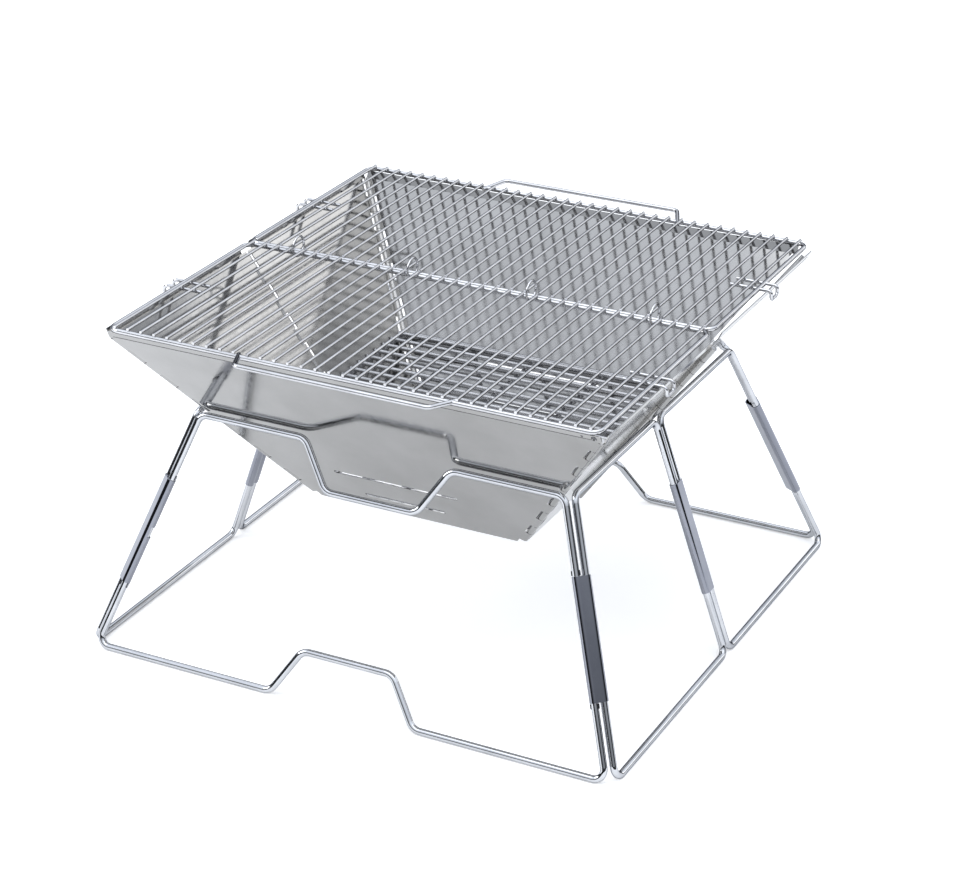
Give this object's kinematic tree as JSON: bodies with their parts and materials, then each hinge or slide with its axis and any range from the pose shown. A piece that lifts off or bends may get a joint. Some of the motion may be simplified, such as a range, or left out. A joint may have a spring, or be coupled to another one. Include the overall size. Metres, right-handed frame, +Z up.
{
  "type": "folding camp grill",
  "caption": "Folding wire stand with a tapered four-sided sheet firebox, slotted base plate, charcoal grate and a folding two-part cooking grate with handles and side hooks.",
  "frame": {"origin": "on the ground, under the middle of the stand", "axes": "+Z up, +X along the long side and the cooking grate's fold, front towards -Y"},
  "size_m": [0.494, 0.481, 0.3079],
  "materials": {
    "stand_wire": "bright drawn stainless wire",
    "sleeve_sheet": "satin stainless sheet",
    "panel_sheet": "mirror-polished stainless sheet, satin inside",
    "pin_steel": "plain stainless rod",
    "plate_sheet": "satin stainless sheet with slots",
    "charcoal_bars": "dull grey steel bars",
    "grate_wire": "bright plated cooking wire"
  },
  "bodies": {
    "stand_front": {"stand_front_frame": "stand_wire"},
    "sleeve_front_left": {"hinge_sleeve_front_left": "sleeve_sheet"},
    "stand_front_left": {"stand_front_left_frame": "stand_wire"},
    "sleeve_mid_left": {"hinge_sleeve_mid_left": "sleeve_sheet"},
    "stand_back_left": {"stand_back_left_frame": "stand_wire"},
    "sleeve_back_left": {"hinge_sleeve_back_left": "sleeve_sheet"},
    "stand_back": {"stand_back_frame": "stand_wire"},
    "sleeve_front_right": {"hinge_sleeve_front_right": "sleeve_sheet"},
    "stand_front_right": {"stand_front_right_frame": "stand_wire"},
    "sleeve_mid_right": {"hinge_sleeve_mid_right": "sleeve_sheet"},
    "stand_back_right": {"stand_back_right_frame": "stand_wire"},
    "sleeve_back_right": {"hinge_sleeve_back_right": "sleeve_sheet"},
    "firebox_front_left": {"firebox_front_left_panel": "panel_sheet", "hinge_pin_mid_left": "pin_steel"},
    "firebox_back_left": {"firebox_back_left_panel": "panel_sheet"},
    "firebox_back": {"firebox_back_panel": "panel_sheet", "hinge_pin_back_left": "pin_steel"},
    "firebox_front_right": {"firebox_front_right_panel": "panel_sheet", "hinge_pin_mid_right": "pin_steel"},
    "firebox_back_right": {"firebox_back_right_panel": "panel_sheet", "hinge_pin_back_right": "pin_steel"},
    "firebox_front": {"firebox_front_panel": "panel_sheet", "hinge_pin_front_left": "pin_steel", "hinge_pin_front_right": "pin_steel"},
    "base_plate": {"base_plate": "plate_sheet"},
    "charcoal_grate": {"charcoal_grate": "charcoal_bars"},
    "cooking_grate_front": {"cooking_grate_front_half": "grate_wire", "grate_handle_front": "grate_wire", "grate_hook_front_left": "grate_wire", "grate_hook_front_right": "grate_wire", "grate_hinge_loops": "grate_wire"},
    "cooking_grate_back": {"cooking_grate_back_half": "grate_wire", "grate_handle_back": "grate_wire", "grate_hook_back_left": "grate_wire", "grate_hook_back_right": "grate_wire"}
  },
  "joints": [
    {"name": "sleeve_front_left_turn", "type": "hinge", "parent": "stand_front", "child": "sleeve_front_left", "pos_m": [-0.20283, -0.19944, 0.1045], "axis": [-0.3148, -0.3011, -0.9001], "range_deg": [0, 48.01]},
    {"name": "stand_fold", "type": "hinge", "parent": "sleeve_front_left", "child": "stand_front_left", "pos_m": [-0.2085, -0.1938, 0.1045], "axis": [-0.3148, -0.3011, -0.9001], "range_deg": [0, 48.01]},
    {"name": "sleeve_mid_left_turn", "type": "hinge", "parent": "stand_front_left", "child": "sleeve_mid_left", "pos_m": [-0.2085, -0.004, 0.1045], "axis": [0.3301, 0, 0.9439], "range_deg": [0, 90]},
    {"name": "stand_back_left_turn", "type": "hinge", "parent": "sleeve_mid_left", "child": "stand_back_left", "pos_m": [-0.2085, 0.004, 0.1045], "axis": [0.3301, 0, 0.9439], "range_deg": [0, 90]},
    {"name": "sleeve_back_left_turn", "type": "hinge", "parent": "stand_back_left", "child": "sleeve_back_left", "pos_m": [-0.2085, 0.1938, 0.1045], "axis": [-0.3148, 0.3011, -0.9001], "range_deg": [0, 48.01]},
    {"name": "stand_back_turn", "type": "hinge", "parent": "sleeve_back_left", "child": "stand_back", "pos_m": [-0.20283, 0.19944, 0.1045], "axis": [-0.3148, 0.3011, -0.9001], "range_deg": [0, 48.01]},
    {"name": "sleeve_front_right_turn", "type": "hinge", "parent": "stand_front", "child": "sleeve_front_right", "pos_m": [0.20283, -0.19944, 0.1045], "axis": [-0.3148, 0.3011, 0.9001], "range_deg": [0, 48.01]},
    {"name": "stand_fold_right", "type": "hinge", "parent": "sleeve_front_right", "child": "stand_front_right", "pos_m": [0.2085, -0.1938, 0.1045], "axis": [-0.3148, 0.3011, 0.9001], "range_deg": [0, 48.01]},
    {"name": "sleeve_mid_right_turn", "type": "hinge", "parent": "stand_front_right", "child": "sleeve_mid_right", "pos_m": [0.2085, -0.004, 0.1045], "axis": [0.3301, 0, -0.9439], "range_deg": [0, 90]},
    {"name": "stand_back_right_turn", "type": "hinge", "parent": "sleeve_mid_right", "child": "stand_back_right", "pos_m": [0.2085, 0.004, 0.1045], "axis": [0.3301, 0, -0.9439], "range_deg": [0, 90]},
    {"name": "sleeve_back_right_turn", "type": "hinge", "parent": "stand_back_right", "child": "sleeve_back_right", "pos_m": [0.2085, 0.1938, 0.1045], "axis": [-0.3148, -0.3011, 0.9001], "range_deg": [0, 48.01]},
    {"name": "firebox_lift", "type": "slide", "parent": "stand_front", "child": "firebox_front", "axis": [0, 0, 1], "range_m": [0, 0.5]},
    {"name": "base_plate_lift", "type": "slide", "parent": "firebox_front", "child": "base_plate", "axis": [0, 0, 1], "range_m": [0, 0.85]},
    {"name": "charcoal_grate_lift", "type": "slide", "parent": "firebox_front", "child": "charcoal_grate", "axis": [0, 0, 1], "range_m": [0, 0.88]},
    {"name": "cooking_grate_lift", "type": "slide", "parent": "firebox_front", "child": "cooking_grate_front", "axis": [0, 0, 1], "range_m": [0, 0.91]},
    {"name": "grate_fold", "type": "hinge", "parent": "cooking_grate_front", "child": "cooking_grate_back", "pos_m": [0, 0, 0.2975], "axis": [1, 0, 0], "range_deg": [0, 180]},
    {"name": "firebox_fold", "type": "hinge", "parent": "firebox_front", "child": "firebox_front_left", "pos_m": [-0.15922, -0.15387, 0.20307], "axis": [0.5119, 0.4949, -0.7021], "range_deg": [0, 109.84]},
    {"name": "firebox_back_left_turn", "type": "hinge", "parent": "firebox_front_left", "child": "firebox_back_left", "pos_m": [-0.16237, 0, 0.19907], "axis": [-0.5891, 0, 0.808], "range_deg": [0, 180]},
    {"name": "firebox_back_turn", "type": "hinge", "parent": "firebox_back_left", "child": "firebox_back", "pos_m": [-0.15922, 0.15387, 0.20307], "axis": [0.5119, -0.4949, -0.7021], "range_deg": [0, 109.84]},
    {"name": "firebox_fold_right", "type": "hinge", "parent": "firebox_front", "child": "firebox_front_right", "pos_m": [0.15922, -0.15387, 0.20307], "axis": [0.5119, -0.4949, 0.7021], "range_deg": [0, 109.84]},
    {"name": "firebox_back_right_turn", "type": "hinge", "parent": "firebox_front_right", "child": "firebox_back_right", "pos_m": [0.16237, 0, 0.19907], "axis": [-0.5891, 0, -0.808], "range_deg": [0, 180]}
  ],
  "couplings": [
    {"joint": "sleeve_front_left_turn", "follows": "firebox_lift", "rad_per_m": 1.6757},
    {"joint": "stand_fold", "follows": "firebox_lift", "rad_per_m": 1.6757},
    {"joint": "sleeve_mid_left_turn", "follows": "firebox_lift", "rad_per_m": 3.1416},
    {"joint": "stand_back_left_turn", "follows": "firebox_lift", "rad_per_m": 3.1416},
    {"joint": "sleeve_back_left_turn", "follows": "firebox_lift", "rad_per_m": 1.6757},
    {"joint": "stand_back_turn", "follows": "firebox_lift", "rad_per_m": 1.6757},
    {"joint": "sleeve_front_right_turn", "follows": "firebox_lift", "rad_per_m": 1.6757},
    {"joint": "stand_fold_right", "follows": "firebox_lift", "rad_per_m": 1.6757},
    {"joint": "sleeve_mid_right_turn", "follows": "firebox_lift", "rad_per_m": 3.1416},
    {"joint": "stand_back_right_turn", "follows": "firebox_lift", "rad_per_m": 3.1416},
    {"joint": "sleeve_back_right_turn", "follows": "firebox_lift", "rad_per_m": 1.6757},
    {"joint": "base_plate_lift", "follows": "firebox_fold", "m_per_rad": 0.44337},
    {"joint": "charcoal_grate_lift", "follows": "firebox_fold", "m_per_rad": 0.45902},
    {"joint": "cooking_grate_lift", "follows": "firebox_fold", "m_per_rad": 0.47467},
    {"joint": "firebox_back_left_turn", "follows": "firebox_fold", "ratio": 1.6387},
    {"joint": "firebox_back_turn", "follows": "firebox_fold", "ratio": 1},
    {"joint": "firebox_fold_right", "follows": "firebox_fold", "ratio": 1},
    {"joint": "firebox_back_right_turn", "follows": "firebox_fold", "ratio": 1.6387}
  ]
}
